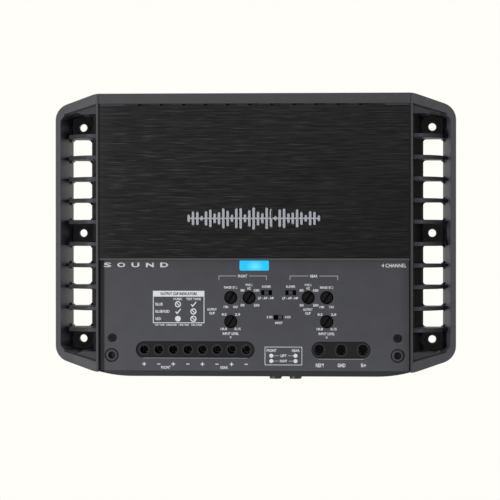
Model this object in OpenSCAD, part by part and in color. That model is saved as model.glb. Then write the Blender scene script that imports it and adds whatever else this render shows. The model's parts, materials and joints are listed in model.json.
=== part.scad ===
// Four-channel car amplifier: cast chassis, ribbed end caps, recessed control panel and screw terminals.
// Origin: centre of the mounting-hole pattern, on the mounting surface. +X right, +Y rear, +Z up.

/* [Chassis] */
// Half width of the chassis between the end caps
body_hw = 108; // [104:0.5:112]
// Distance from the origin to the rear edge
rear_y = 96.6; // [95.5:0.1:98]
// Height of the side rails and of the rear band
rail_z = 52; // [51:0.5:54]
// Height of the control panel's face
panel_z = 47; // [46:0.5:48]
// Thickness of the chassis side walls
side_wall = 5; // [4:0.5:6]
// Rear edge of the control panel, where the deck steps up
step_y = -19.1; // [-22:0.1:-17]

/* [Mounting] */
// Side-to-side spacing of the mounting holes
mount_dx = 249.7; // [249:0.1:251]
// Front-to-rear spacing of the outer mounting holes
mount_dy = 151.1; // [150:0.1:152]
// Radius of a mounting hole
mount_r = 2.75; // [2.2:0.05:3]
// Thickness of a mounting ear
ear_t = 4.5; // [3:0.5:6]
// Outer edge of the ledge that carries the end caps
ledge_x = 118.3; // [117:0.1:119]

/* [End caps] */
// Half width over the two end caps
cap_hw = 140; // [138:0.1:142]
// Height of the outer rim
rim_z = 39; // [36:0.5:42]
// Width of the rail beside the deck
rail_w = 1.7; // [1.4:0.1:2.4]
// Sweep angle of the front and rear edges
cap_angle = 17.5; // [15:0.5:20]
// Radius of the outer corners
cap_corner_r = 12; // [8:0.5:14]
// Spacing of the ribs
rib_pitch = 14.94; // [14.5:0.01:15.2]
// Distance from the middle to the first rib
rib_first = 7.7; // [7.4:0.1:8]
// Thickness of a rib at its top
rib_t = 2.8; // [2:0.1:3.2]

/* [Controls] */
// Centre line of the control group
ctl_x = 17; // [15:0.1:19]
// Offset of the bass dials from that line
bass_dx = 33.3; // [33:0.1:34]
// Offset of the frequency dials
freq_dx = 20.5; // [20:0.1:21]
// Offset of the crossover switches
xover_dx = 8.4; // [8:0.1:9]
// Row of the bass and frequency dials
eq_y = -44.9; // [-46:0.1:-44]
// Row of the level dials
level_y = -61.6; // [-63:0.1:-60]
// Row of the crossover switches
xover_y = -41.5; // [-43:0.1:-41]
// Row of the input switch
input_y = -58.6; // [-60:0.1:-57]
// Radius of a dial's hole in the panel
dial_hole_r = 4.6; // [4.4:0.05:5]
// Radius of a dial's head
dial_r = 4.1; // [3.8:0.05:4.2]

/* [Terminals] */
// Centre of the speaker terminals
spk_x = -41.1; // [-42:0.1:-40]
// Pitch of the speaker terminals
spk_pitch = 10.16; // [10:0.01:10.2]
// Centre of the power terminals
pwr_x = 60.2; // [60:0.1:61]
// Pitch of the power terminals
pwr_pitch = 15.24; // [15:0.01:15.3]
// Row of the terminal screws
term_y = -81.2; // [-82:0.1:-80]
// Centre of the input jacks
jack_x = 21.3; // [20:0.1:22]
// Pitch of the input jacks
jack_pitch = 14; // [13.5:0.1:14.2]

/* [Hidden] */
$fn = 64;
e = 0.01;

// Heights of the stack
base_t = 1.5;
skin_t = 1.5;
panel_t = 1.8;
deck_z = panel_z - panel_t;
rear_deck_z = rail_z - skin_t;
front_ceiling = deck_z - 3;
rear_ceiling = rear_deck_z - 5;
ledge_z = 8;
board_t = 1.6;
board_z = 13;
board_rear_y = 82.5;
ctl_board_z = 34.6;

// Plan of the chassis
cavity_hw = body_hw - side_wall;
rear_wall = 4.6;
front_y = -94;
band_y = 89.4;
skin_hw = body_hw - 0.8;
skin_rear_y = band_y - 0.5;
bevel = 1.4;
notch_pitch = 15.3;
notch_w = 8;
notch_n = 11;
channel_d = 3;
channel_top = rail_z - 6;
panel_front_y = -95.8;
nose_gap = 0.25;
nose_y = -99.6;
nose_flat = 85;
nose_r = 88;
nose_low = 41;

// Badge: a row of bars, each with its own length
badge_n = 31;
badge_pitch = 3;
badge_bar_w = 1.7;
function badge_h(i) = 3.2 + 12.6 * abs(sin(i * 53 + 20)) * (0.45 + 0.55 * sin(180 * (i + 0.5) / badge_n));

// Screw positions
corner_x = 99.4;
corner_y = -85.1;
post_r = 5.5;
base_posts = [[corner_x, corner_y], [corner_x, 0], [corner_x, 87.5], [33, 88.5]];
board_posts = [[88, -66], [88, 8], [88, 78]];
board_post_r = 3.5;
panel_screw_pos = [99.1, -73];
ctl_posts = [[ctl_x - 43, -24], [ctl_x + 43, -24], [ctl_x - 43, -66.5], [ctl_x + 43, -66.5]];
cap_screw_pos = [114.5, 88.8];
front_screw_x = body_hw - 3.1;
front_screw_zs = [12, 35];
m3_r = 1.5;
fit = 0.02;
bolt_r = 2.5;
bolt_head_r = 4.45;
bolt_head_t = 3;

// End caps
sweep = tan(cap_angle);
knee_x = body_hw + 2;
knee_r = 22;
cap_tip_y = rear_y - (cap_hw - knee_x) * sweep;
corner_tan = cap_corner_r / tan((90 + cap_angle) / 2);
well_end_y = 82.5;
well_r = 8;
window_r = 1.3;
wall_top_x = cap_hw - 3.95;
wall_base_x = cap_hw - 7.5;
cap_base_z = 0.5;
ear_x = wall_base_x - 0.05;
ear_w = 13.8;
ear_r = 8.15;
shelf_drop = 1;
shelf_t = 2.4;
function cap_top(x) = rail_z - (x - body_hw - rail_w) * (rail_z - rim_z) / (cap_hw - body_hw - rail_w);

// Control group
dials = [[ctl_x - bass_dx, eq_y], [ctl_x - freq_dx, eq_y], [ctl_x - bass_dx, level_y],
         [ctl_x + bass_dx, eq_y], [ctl_x + freq_dx, eq_y], [ctl_x + bass_dx, level_y]];
// Each switch: x, y, width of its slot, rest position of its slider from the slot's centre
switches = [[ctl_x - xover_dx, xover_y, 7.6, 0], [ctl_x + xover_dx, xover_y, 7.6, 0],
            [ctl_x - 0.2, input_y, 6.4, 1.4]];
clip_lights = [[-25, -57], [41, -57]];
slider_w = 3;
slider_l = 3.1;
slot_l = 3.5;
dial_slot_angle = 57;
bar_w = 20.3;
bar_l = 6.9;
bar_y = -22.7;

// Terminals: half length of a block, radius of its rounded tower, radius of a screw hole
spk_n = 8;
pwr_n = 3;
spk_hl = 41.1;
spk_tower_r = 5.6;
spk_hole_r = 2.95;
spk_ring_r = 3.95;
pwr_hl = 20.1;
pwr_tower_r = 5.5;
pwr_hole_r = 3.7;
pwr_ring_r = 4.65;
block_front_y = -95;
block_rear_y = -73;
block_top = 33;
tower_top = 46.2;
ring_top = 46.5;
opening_gap = 0.35;
spk_lug = [7.8, 9, 12];
spk_window = [5.3, 6.4];
spk_lug_z = 16.5;
spk_wire_z = 21.6;
spk_screw_r = 1.95;
spk_screw_z = 25;
spk_screw_l = 11;
pwr_lug = [12.4, 11, 16];
pwr_window = [9.3, 9.8];
pwr_lug_z = 14.5;
pwr_wire_z = 20.7;
pwr_screw_r = 2.95;
pwr_screw_z = 25.8;
pwr_screw_l = 12;
thread_gap = 0.05;

// Input jacks
jack_zs = [19.5, 33.5];
jack_xs = [jack_x - jack_pitch / 2, jack_x + jack_pitch / 2];
jack_r = 4.15;
jack_tip_y = -101.9;
jack_barrel = 8.3;
jack_seat_r = 4.4;
jack_face_y = -93.2;

// Inside
device_first = 14;
device_pitch = 16;
device_n = 4;
device_w = 10;
device_t = 4.5;
device_x = cavity_hw - 0.4;
bar_t = 2;
clamp_z = 27.5;
clamp_rows = [device_first + 0.5 * device_pitch, device_first + 2.5 * device_pitch];
transformer_pos = [40, 32];
choke_pos = [30, -42];

// ---------- shared shapes ----------

module rrect(w, l, r) {
    square([w - 2 * r, l], center = true);
    square([w, l - 2 * r], center = true);
    for (x = [-1, 1], y = [-1, 1])
        translate([x * (w / 2 - r), y * (l / 2 - r)]) circle(r);
}

module pill(half_l, r) {
    square([2 * (half_l - r), 2 * r], center = true);
    for (x = [-1, 1])
        translate([x * (half_l - r), 0]) circle(r);
}

module block(w, l, z0, z1) {
    translate([-w / 2, -l / 2, z0]) cube([w, l, z1 - z0]);
}

module post(r, z0, z1) {
    translate([0, 0, z0]) cylinder(r = r, h = z1 - z0);
}

// Plan of a fillet that fills the corner at the origin up to a radius
module concave_corner(r) {
    difference() {
        translate([-0.5, -0.5]) square(r + 0.5);
        translate([r, r]) circle(r);
    }
}

// Puts its children at (x, y) and at (-x, y)
module both_sides(p) {
    for (s = [-1, 1])
        translate([s * p[0], p[1], 0]) children();
}

// Extrudes an XZ outline along Y, from y0 to y1
module along_y(y0, y1) {
    translate([0, y1, 0]) rotate([90, 0, 0]) linear_extrude(y1 - y0) children();
}

// ---------- chassis ----------

module deck_openings() {
    for (p = dials)
        translate(p) post(dial_hole_r + 0.3, front_ceiling - 1, deck_z + 1);
    for (p = switches)
        translate([p[0], p[1], 0]) block(p[2] + 1.2, slot_l + 1.6, front_ceiling - 1, deck_z + 1);
    for (p = clip_lights)
        translate(p) post(1.2, front_ceiling - 1, deck_z + 1);
    translate([spk_x, term_y, front_ceiling - 1])
        linear_extrude(5) pill(spk_hl + 0.6, spk_tower_r + 0.5);
    translate([pwr_x, term_y, front_ceiling - 1])
        linear_extrude(5) pill(pwr_hl + 0.6, pwr_tower_r + 0.5);
    translate([0, bar_y, front_ceiling - 1])
        linear_extrude(5) rrect(bar_w + 0.1, bar_l + 0.1, 1);
}

module mounting_ears() {
    for (y = [-mount_dy / 2, 0, mount_dy / 2], s = [-1, 1])
        translate([s * mount_dx / 2, y, 0]) difference() {
            union() {
                translate([s > 0 ? body_hw - mount_dx / 2 : mount_dx / 2 - ear_x, -ear_w / 2, 0])
                    cube([ear_x - body_hw, ear_w, ear_t]);
                if (y != 0) post(ear_r, 0, ear_t);
                post(5, 0, ear_t + 0.8);
            }
            post(mount_r, -1, ear_t + 2);
        }
}

module heatsink() {
    color([0.09, 0.09, 0.1]) difference() {
        union() {
            difference() {
                union() {
                    translate([-body_hw, step_y, base_t])
                        cube([2 * body_hw, rear_y - step_y, rear_deck_z - base_t]);
                    translate([-body_hw, band_y, base_t])
                        cube([2 * body_hw, rear_y - band_y, rail_z - base_t]);
                    translate([-body_hw, front_y, base_t])
                        cube([2 * body_hw, step_y - front_y + e, deck_z - base_t]);
                    translate([-ledge_x, -92, base_t]) cube([2 * ledge_x, 184, ledge_z - base_t]);
                }
                translate([-cavity_hw, front_y - 1, 0])
                    cube([2 * cavity_hw, step_y - front_y + 5, front_ceiling]);
                translate([-cavity_hw, step_y + 3, 0])
                    cube([2 * cavity_hw, rear_y - rear_wall - step_y - 3, rear_ceiling]);
                for (i = [0:notch_n - 1])
                    translate([(i - (notch_n - 1) / 2) * notch_pitch, rear_y, 0])
                        block(notch_w, 2 * channel_d, -1, channel_top);
            }
            for (p = base_posts)
                both_sides(p) post(post_r, base_t, p[1] < step_y ? front_ceiling + 1 : rear_ceiling + 1);
            for (p = board_posts)
                both_sides(p)
                    post(board_post_r, board_z, p[1] < step_y ? front_ceiling + 1 : rear_ceiling + 1);
            for (p = ctl_posts)
                translate(p) post(3, ctl_board_z, front_ceiling + 1);
            mounting_ears();
        }
        for (i = [0:notch_n - 1])
            translate([(i - (notch_n - 1) / 2) * notch_pitch, skin_rear_y - 0.2, 0])
                block(notch_w, 2 * (band_y - skin_rear_y) + 0.4, rear_deck_z - 1.5, rail_z);
        for (p = base_posts)
            both_sides(p) post(m3_r + fit, 0, base_t + 9);
        for (p = board_posts)
            both_sides(p) post(m3_r + fit, board_z - 1, board_z + 8);
        for (p = ctl_posts)
            translate(p) post(1.25 + fit, ctl_board_z - 1, ctl_board_z + 6.5);
        both_sides([corner_x, corner_y]) {
            post(bolt_r + fit, 19, deck_z + 1);
            post(bolt_head_r + 0.1, panel_z - bolt_head_t, deck_z + 1);
        }
        both_sides(panel_screw_pos) post(m3_r + fit, front_ceiling - 1, deck_z + 1);
        for (s = [-1, 1], t = [-1, 1])
            translate([s * cap_screw_pos[0], t * cap_screw_pos[1], 0]) {
                post(m3_r + fit, 0, ledge_z + 1);
                post(2.9, 0, 3.8);
            }
        for (x = [-front_screw_x, front_screw_x], z = front_screw_zs)
            translate([x, front_y - 1, z]) rotate([-90, 0, 0]) cylinder(r = m3_r + fit, h = 10.5);
        for (s = [-1, 1], t = [-1, 1], y = clamp_rows)
            translate([s * (cavity_hw - 1), t * y, clamp_z])
                rotate([0, s * 90, 0]) cylinder(r = m3_r + fit, h = 4.5);
        deck_openings();
    }
}

module bottom_plate() {
    color([0.2, 0.2, 0.21]) difference() {
        translate([-body_hw + 0.5, front_y - 1.5, 0])
            cube([2 * body_hw - 1, rear_y - front_y + 1, base_t]);
        for (p = base_posts)
            both_sides(p) {
                post(m3_r + 0.1, -1, base_t + 1);
                translate([0, 0, -e]) cylinder(r1 = 3.02, r2 = m3_r + 0.1, h = 1.4);
            }
        for (i = [0:notch_n - 1])
            translate([(i - (notch_n - 1) / 2) * notch_pitch, rear_y, 0])
                block(notch_w, 2 * channel_d, -1, base_t + 1);
    }
}

module countersunk_screw(r, head_r, len) {
    cylinder(r1 = head_r, r2 = r, h = 1.4);
    cylinder(r = r, h = len);
}

module bottom_screws() {
    color([0.75, 0.75, 0.77]) for (p = base_posts)
        both_sides(p) difference() {
            countersunk_screw(m3_r, 2.9, 9);
            cross_recess(0, 0.9);
        }
}

// Cross-shaped driver recess that opens downward at z0
module cross_recess(z0, depth) {
    for (a = [0, 90])
        rotate(a) block(0.55, 2.6, z0 - 1, z0 + depth);
}

module top_plate() {
    color([0.13, 0.13, 0.14]) difference() {
        rotate([90, 0, 90]) translate([0, 0, -skin_hw]) linear_extrude(2 * skin_hw)
            polygon([[step_y + 0.1, rear_deck_z], [skin_rear_y, rear_deck_z], [skin_rear_y, rail_z],
                     [step_y + bevel, rail_z], [step_y + 0.1, rail_z - bevel + 0.1]]);
        for (i = [0:notch_n - 1])
            translate([(i - (notch_n - 1) / 2) * notch_pitch, skin_rear_y, 0])
                block(notch_w, 1.6, rear_deck_z - 1, rail_z + 1);
        for (s = [-1, 1])
            translate([s * (skin_hw - 7), skin_rear_y, 0])
                block(21, 1.6, rear_deck_z - 1, rail_z + 1);
    }
}

// Raised waveform of round-ended bars on one carrier line
module badge() {
    color([0.78, 0.79, 0.82]) translate([0, 10, rail_z]) {
        linear_extrude(1.2)
            for (i = [0:badge_n - 1])
                translate([(i - (badge_n - 1) / 2) * badge_pitch, 0])
                    rotate(90) pill(badge_h(i) / 2, badge_bar_w / 2);
        linear_extrude(0.8) pill((badge_n - 1) / 2 * badge_pitch, 0.5);
    }
}

module control_panel() {
    color([0.3, 0.3, 0.31]) translate([0, 0, deck_z]) difference() {
        translate([-skin_hw, panel_front_y, 0])
            cube([2 * skin_hw, step_y - 0.15 - panel_front_y, panel_t]);
        for (p = dials)
            translate(p) post(dial_hole_r, -1, panel_t + 1);
        for (p = switches)
            translate([p[0], p[1], 0]) block(p[2], slot_l, -1, panel_t + 1);
        for (p = clip_lights)
            translate(p) post(0.85, -1, panel_t + 1);
        translate([spk_x, term_y, -1]) linear_extrude(4) pill(spk_hl + 0.3, spk_tower_r + 0.25);
        translate([pwr_x, term_y, -1]) linear_extrude(4) pill(pwr_hl + 0.3, pwr_tower_r + 0.25);
        translate([0, bar_y, -1]) linear_extrude(4) rrect(bar_w + 0.1, bar_l + 0.1, 1);
        translate([-bar_w / 2, bar_y, -1]) cube([bar_w, 5, 4]);
        both_sides([corner_x, corner_y]) post(bolt_head_r + 0.4, -1, panel_t + 1);
        both_sides(panel_screw_pos) post(m3_r + 0.1, -1, panel_t + 1);
    }
}

module panel_screws() {
    color([0.2, 0.2, 0.21]) both_sides(panel_screw_pos) difference() {
        union() {
            post(m3_r, front_ceiling - 1.5, panel_z + 0.2);
            post(2.85, panel_z, panel_z + 0.8);
            translate([0, 0, panel_z + 0.8]) cylinder(r1 = 2.85, r2 = 2.2, h = 0.5);
        }
        for (a = [20, 110])
            rotate(a) block(0.6, 2.7, panel_z + 0.3, panel_z + 2);
    }
}

module corner_bolts() {
    color([0.28, 0.28, 0.29]) both_sides([corner_x, corner_y]) difference() {
        union() {
            post(bolt_r, 20, panel_z - 1);
            post(bolt_head_r, panel_z - bolt_head_t, panel_z - 0.9);
            translate([0, 0, panel_z - 0.9]) cylinder(r1 = bolt_head_r, r2 = bolt_head_r - 0.9, h = 0.9);
        }
        translate([0, 0, panel_z - 2.4]) cylinder(r = 2.3, h = 3, $fn = 6);
    }
}

module light_bar() {
    color([0.1, 0.7, 1]) translate([0, bar_y, front_ceiling - 5.8])
        linear_extrude(panel_z + 0.2 - front_ceiling + 5.8) rrect(bar_w, bar_l, 0.9);
}

// ---------- front panel ----------

module nose_outline() {
    intersection() {
        translate([-body_hw + 0.2, nose_y]) square([2 * body_hw - 0.4, panel_front_y - nose_gap - nose_y]);
        union() {
            translate([-nose_flat, nose_y]) square([2 * nose_flat, 5]);
            for (x = [-nose_flat, nose_flat])
                translate([x, nose_y + nose_r]) circle(nose_r, $fn = 128);
        }
    }
}

module front_panel() {
    color([0.16, 0.16, 0.17]) difference() {
        union() {
            translate([-body_hw + 0.2, -96, base_t + 0.2])
                cube([2 * body_hw - 0.4, 2, deck_z - base_t - 0.2]);
            translate([-body_hw + 0.2, -96.6, nose_low]) cube([2 * body_hw - 0.4, 1, deck_z - nose_low]);
            translate([0, 0, nose_low]) linear_extrude(panel_z - 0.2 - nose_low) nose_outline();
            translate([0, 0, base_t + 0.2]) linear_extrude(4) nose_outline();
            translate([-body_hw + 0.2, -96.6, base_t + 0.2]) cube([2 * body_hw - 0.4, 1, 4]);
        }
        translate([spk_x, front_y, 0])
            block(2 * (spk_hl + opening_gap), 10, board_z - opening_gap, block_top + opening_gap);
        translate([pwr_x, front_y, 0])
            block(2 * (pwr_hl + opening_gap), 10, board_z - opening_gap, block_top + opening_gap);
        for (x = jack_xs, z = jack_zs)
            translate([x, -98, z]) rotate([-90, 0, 0]) cylinder(r = jack_r + 1.4, h = 6);
        for (x = [-front_screw_x, front_screw_x], z = front_screw_zs)
            translate([x, -96 - e, z]) rotate([-90, 0, 0]) {
                cylinder(r = m3_r + 0.1, h = 4);
                cylinder(r1 = 2.82, r2 = m3_r + 0.1, h = 1.4);
            }
    }
}

module front_screws() {
    color([0.2, 0.2, 0.21]) for (x = [-front_screw_x, front_screw_x], z = front_screw_zs)
        translate([x, -96, z]) rotate([-90, 0, 0]) difference() {
            countersunk_screw(m3_r, 2.7, 10);
            cross_recess(0, 0.9);
        }
}

// ---------- end caps ----------

// Plan of one end cap; the corner circles are tangent to both of the sides they join
// Rear half of the outline; the edge bends at the knee and rounds the outer corner
module cap_half_outline() {
    knee_tan = knee_r * tan(cap_angle / 2);
    a0 = asin((body_hw - knee_x + knee_tan) / knee_r);
    polygon(concat([[body_hw, -1]],
                   [for (a = [a0:(cap_angle - a0) / 5:cap_angle + 0.1])
                       [knee_x - knee_tan + knee_r * sin(a), rear_y - knee_r + knee_r * cos(a)]],
                   [[cap_hw - corner_tan * cos(cap_angle), cap_tip_y + corner_tan * sin(cap_angle)],
                    [cap_hw, cap_tip_y - corner_tan], [cap_hw, -1]]));
    translate([cap_hw - cap_corner_r, cap_tip_y - corner_tan]) circle(cap_corner_r);
}

module cap_outline() {
    for (t = [0, 1])
        mirror([0, t]) cap_half_outline();
}

module cap_section() {
    polygon([[body_hw, cap_base_z], [cap_hw - 0.6, cap_base_z], [cap_hw, cap_base_z + 0.6],
             [cap_hw, rim_z - 0.8], [cap_hw - 0.8, cap_top(cap_hw - 0.8)],
             [body_hw + rail_w, rail_z], [body_hw, rail_z]]);
}

module well_section() {
    polygon([[ledge_x, -1], [wall_base_x, -1], [wall_base_x, cap_base_z],
             [wall_top_x, cap_top(wall_top_x)], [wall_top_x + 1.7, rail_z + 10],
             [body_hw + rail_w, rail_z + 10], [body_hw + rail_w, rail_z - 3], [ledge_x, ledge_z]]);
    polygon([[body_hw - 1, -1], [body_hw - 1, 42], [body_hw, 42], [ledge_x - 2, ledge_z], [ledge_x - 2, -1]]);
}

// Plan of the open well; its outer corners follow the rounded rim
module well_outline() {
    x1 = wall_top_x + 1;
    translate([body_hw - 2, -well_end_y]) square([x1 - well_r - body_hw + 2, 2 * well_end_y]);
    translate([body_hw - 2, -well_end_y + well_r]) square([x1 - body_hw + 2, 2 * (well_end_y - well_r)]);
    for (t = [-1, 1])
        translate([x1 - well_r, t * (well_end_y - well_r)]) circle(well_r);
}

// Rounds the four corners of the window between two ribs
module window_corners() {
    for (t = [0, 1])
        translate([0, t * rib_pitch, 0]) mirror([0, t, 0]) {
            translate([ledge_x, rib_t / 2, ledge_z]) linear_extrude(5) concave_corner(window_r);
            translate([wall_base_x, rib_t / 2, cap_base_z])
                linear_extrude(ledge_z + 3) mirror([1, 0, 0]) concave_corner(window_r);
        }
}

// The rib's top edge falls away from the rail and stops short of the outer wall
module rib_section() {
    x0 = body_hw + rail_w - 0.2;
    x1 = 131;
    polygon(concat([[x0, ledge_z], [wall_base_x + 1.2, ledge_z], [wall_base_x + 2.6, 22], [x1 + 0.6, 22]],
                   [for (k = [0:8]) let (x = x1 - k * (x1 - x0) / 8)
                       [x, rail_z - 1.6 - 0.036 * (x - x0) * (x - x0)]]));
}

module rib() {
    intersection() {
        along_y(-rib_t / 2, rib_t / 2) rib_section();
        rotate([90, 0, 90]) linear_extrude(cap_hw)
            polygon([[-rib_t / 2 + 0.4, 0], [rib_t / 2 - 0.4, 0], [rib_t / 2, rim_z],
                     [rib_t / 2, rail_z + 2], [-rib_t / 2, rail_z + 2], [-rib_t / 2, rim_z]]);
    }
}

// Sloping slab between two depths below the cap's top surface
module below_top(d0, d1) {
    x1 = cap_hw + 2;
    along_y(-rear_y - 5, rear_y + 5)
        polygon([[body_hw - 2, cap_top(body_hw - 2) - d1], [x1, cap_top(x1) - d1],
                 [x1, cap_top(x1) - d0], [body_hw - 2, cap_top(body_hw - 2) - d0]]);
}

module corner_shelf() {
    x0 = body_hw + rail_w;
    intersection() {
        below_top(-8, shelf_drop);
        linear_extrude(rail_z + 6)
            polygon([[x0, well_end_y - 1], [x0, 89.3], [133.4, 82.9], [133.4, well_end_y - 1]]);
    }
    intersection() {
        below_top(-8, shelf_drop + 0.9);
        linear_extrude(rail_z + 6)
            polygon([[x0, 88.3], [x0, 89.3], [133.4, 82.9], [130.6, 82.9]]);
    }
}

module corner_cavity() {
    x0 = body_hw + rail_w;
    intersection() {
        below_top(shelf_drop + 0.9 + shelf_t, 80);
        translate([0, 0, -20]) linear_extrude(80)
            polygon([[x0, well_end_y + 2.6], [x0, 92.8], [knee_x, 92.8],
                     [131.8, 92.8 - (131.8 - knee_x) * sweep], [131.8, well_end_y + 2.6]]);
    }
}

module end_cap() {
    difference() {
        intersection() {
            linear_extrude(rail_z + 1) cap_outline();
            along_y(-rear_y - 1, rear_y + 1) cap_section();
        }
        intersection() {
            along_y(-well_end_y, well_end_y) well_section();
            union() {
                translate([0, 0, ear_t + 0.5]) linear_extrude(rail_z + 20) well_outline();
                translate([body_hw - 2, -well_end_y, -2])
                    cube([wall_top_x - body_hw, 2 * well_end_y, ear_t + 2.6]);
            }
        }
        for (t = [0, 1])
            mirror([0, t, 0]) {
                corner_shelf();
                corner_cavity();
                translate([mount_dx / 2, mount_dy / 2, 0]) post(8.2, -1, rail_z + 1);
            }
        translate([body_hw - 1, -92.1, -1]) cube([ledge_x + 0.1 - body_hw + 1, 184.2, ledge_z + 1]);
    }
    for (i = [0:4], t = [-1, 1])
        translate([0, t * (rib_first + i * rib_pitch), 0]) rib();
    for (i = [0:3], t = [0, 1])
        mirror([0, t, 0]) translate([0, rib_first + i * rib_pitch, 0]) window_corners();
    for (t = [-1, 1])
        translate([cap_screw_pos[0], t * cap_screw_pos[1], 0]) difference() {
            post(3.2, ledge_z, 46);
            post(m3_r + fit, ledge_z - 1, 21);
        }
}

module end_cap_right() {
    color([0.34, 0.34, 0.36]) end_cap();
}

module end_cap_left() {
    color([0.34, 0.34, 0.36]) mirror([1, 0, 0]) end_cap();
}

module end_cap_screws() {
    color([0.2, 0.2, 0.21]) for (s = [-1, 1], t = [-1, 1])
        translate([s * cap_screw_pos[0], t * cap_screw_pos[1], base_t]) difference() {
            union() {
                cylinder(r = 2.75, h = 2.3);
                cylinder(r = m3_r, h = 18);
            }
            cross_recess(0, 1);
        }
}

// ---------- boards ----------

module main_board() {
    color([0.05, 0.3, 0.14]) translate([0, 0, board_z - board_t]) difference() {
        translate([-cavity_hw + 1.5, front_y + 0.5, 0])
            cube([2 * cavity_hw - 3, board_rear_y - front_y - 0.5, board_t]);
        for (p = base_posts)
            both_sides(p) post(post_r + 0.8, -1, board_t + 1);
        for (p = board_posts)
            both_sides(p) post(m3_r + 0.1, -1, board_t + 1);
    }
}

module board_screws() {
    color([0.75, 0.75, 0.77]) for (p = board_posts)
        both_sides(p) difference() {
            union() {
                post(2.8, board_z - board_t - 2, board_z - board_t);
                post(m3_r, board_z - board_t - 1, board_z + 7);
            }
            cross_recess(board_z - board_t - 2, 1);
        }
}

module control_board() {
    color([0.05, 0.3, 0.14]) difference() {
        translate([ctl_x - 47, -70, ctl_board_z - board_t]) cube([94, 50, board_t]);
        for (p = ctl_posts)
            translate(p) post(1.35, ctl_board_z - board_t - 1, ctl_board_z + 1);
    }
}

module control_board_screws() {
    color([0.75, 0.75, 0.77]) for (p = ctl_posts)
        translate(p) difference() {
            union() {
                post(2.3, ctl_board_z - board_t - 1.7, ctl_board_z - board_t);
                post(1.25, ctl_board_z - board_t - 1, ctl_board_z + 6);
            }
            cross_recess(ctl_board_z - board_t - 1.7, 0.9);
        }
}

module board_header() {
    color([0.1, 0.1, 0.1]) translate([ctl_x, -67, 0]) {
        block(26, 5, board_z, board_z + 8.5);
        block(26, 5, ctl_board_z - board_t - 8.5, ctl_board_z - board_t);
        for (i = [0:9])
            translate([(i - 4.5) * 2.54, 0, 0]) block(0.64, 0.64, board_z + 8, ctl_board_z - board_t - 8);
    }
}

// ---------- terminals ----------

// Housing of an n-way block: body, raised tower with a ring round each screw hole, and lug pockets
module terminal_housing(n, pitch, half_l, tower_r, hole_r, ring_r, lug, window, lug_z, wire_z) {
    difference() {
        union() {
            translate([-half_l, block_front_y, board_z])
                cube([2 * half_l, block_rear_y - block_front_y, block_top - board_z]);
            translate([0, term_y, block_top - 1]) linear_extrude(tower_top - block_top + 1)
                pill(half_l, tower_r);
            for (i = [0:n - 1])
                translate([(i - (n - 1) / 2) * pitch, term_y, 0]) post(ring_r, tower_top - 1, ring_top);
        }
        for (i = [0:n - 1])
            translate([(i - (n - 1) / 2) * pitch, term_y, 0]) {
                post(hole_r, lug_z, ring_top + 1);
                block(lug[0] + 0.1, lug[1] + 0.1, board_z - 1, lug_z + lug[2] + 0.05);
                translate([-window[0] / 2 - 0.3, block_front_y - 1 - term_y, wire_z - window[1] / 2 - 0.3])
                    cube([window[0] + 0.6, term_y - block_front_y, window[1] + 0.6]);
            }
    }
}

// Box lug: a metal cage with a window for the wire and a threaded hole for the set screw
module box_lugs(n, pitch, lug, window, lug_z, wire_z, screw_r) {
    for (i = [0:n - 1])
        translate([(i - (n - 1) / 2) * pitch, term_y, 0]) difference() {
            union() {
                block(lug[0], lug[1], lug_z, lug_z + lug[2]);
                block(lug[0] * 0.6, 1, board_z, lug_z + 0.5);
            }
            block_window(window, lug[1], wire_z);
            post(screw_r + thread_gap, wire_z, lug_z + lug[2] + 1);
        }
}

module block_window(window, l, z) {
    translate([-window[0] / 2, -l / 2 - 1, z - window[1] / 2]) cube([window[0], l + 2, window[1]]);
}

// Set screw with a slot across its top
module set_screw(r, z0, len) {
    difference() {
        union() {
            translate([0, 0, z0]) cylinder(r1 = r - 0.5, r2 = r, h = 0.6);
            post(r, z0 + 0.6, z0 + len);
        }
        block(r * 0.45, 2 * r + 1, z0 + len - 1.2, z0 + len + 1);
    }
}

module speaker_terminal_block() {
    color([0.17, 0.17, 0.18]) translate([spk_x, 0, 0])
        terminal_housing(spk_n, spk_pitch, spk_hl, spk_tower_r, spk_hole_r, spk_ring_r,
                         spk_lug, spk_window, spk_lug_z, spk_wire_z);
}

module speaker_clamps() {
    color([0.72, 0.7, 0.62]) translate([spk_x, 0, 0])
        box_lugs(spk_n, spk_pitch, spk_lug, spk_window, spk_lug_z, spk_wire_z, spk_screw_r);
}

module speaker_screw(i) {
    color([0.6, 0.6, 0.58]) translate([spk_x + (i - (spk_n + 1) / 2) * spk_pitch, term_y, 0])
        rotate(35) set_screw(spk_screw_r, spk_screw_z, spk_screw_l);
}

module power_terminal_block() {
    color([0.17, 0.17, 0.18]) translate([pwr_x, 0, 0])
        terminal_housing(pwr_n, pwr_pitch, pwr_hl, pwr_tower_r, pwr_hole_r, pwr_ring_r,
                         pwr_lug, pwr_window, pwr_lug_z, pwr_wire_z);
}

module power_clamps() {
    color([0.72, 0.7, 0.62]) translate([pwr_x, 0, 0])
        box_lugs(pwr_n, pwr_pitch, pwr_lug, pwr_window, pwr_lug_z, pwr_wire_z, pwr_screw_r);
}

module power_screw(i) {
    color([0.6, 0.6, 0.58]) translate([pwr_x + (i - (pwr_n + 1) / 2) * pwr_pitch, term_y, 0])
        rotate(35) set_screw(pwr_screw_r, pwr_screw_z, pwr_screw_l);
}

// ---------- input jacks ----------

module jack_housing() {
    color([0.1, 0.1, 0.1]) difference() {
        translate([jack_x - 13.5, jack_face_y, board_z]) cube([27, 12, 29]);
        for (x = jack_xs, z = jack_zs)
            translate([x, jack_face_y - 1, z]) rotate([-90, 0, 0]) cylinder(r = jack_seat_r, h = 7);
    }
}

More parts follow.
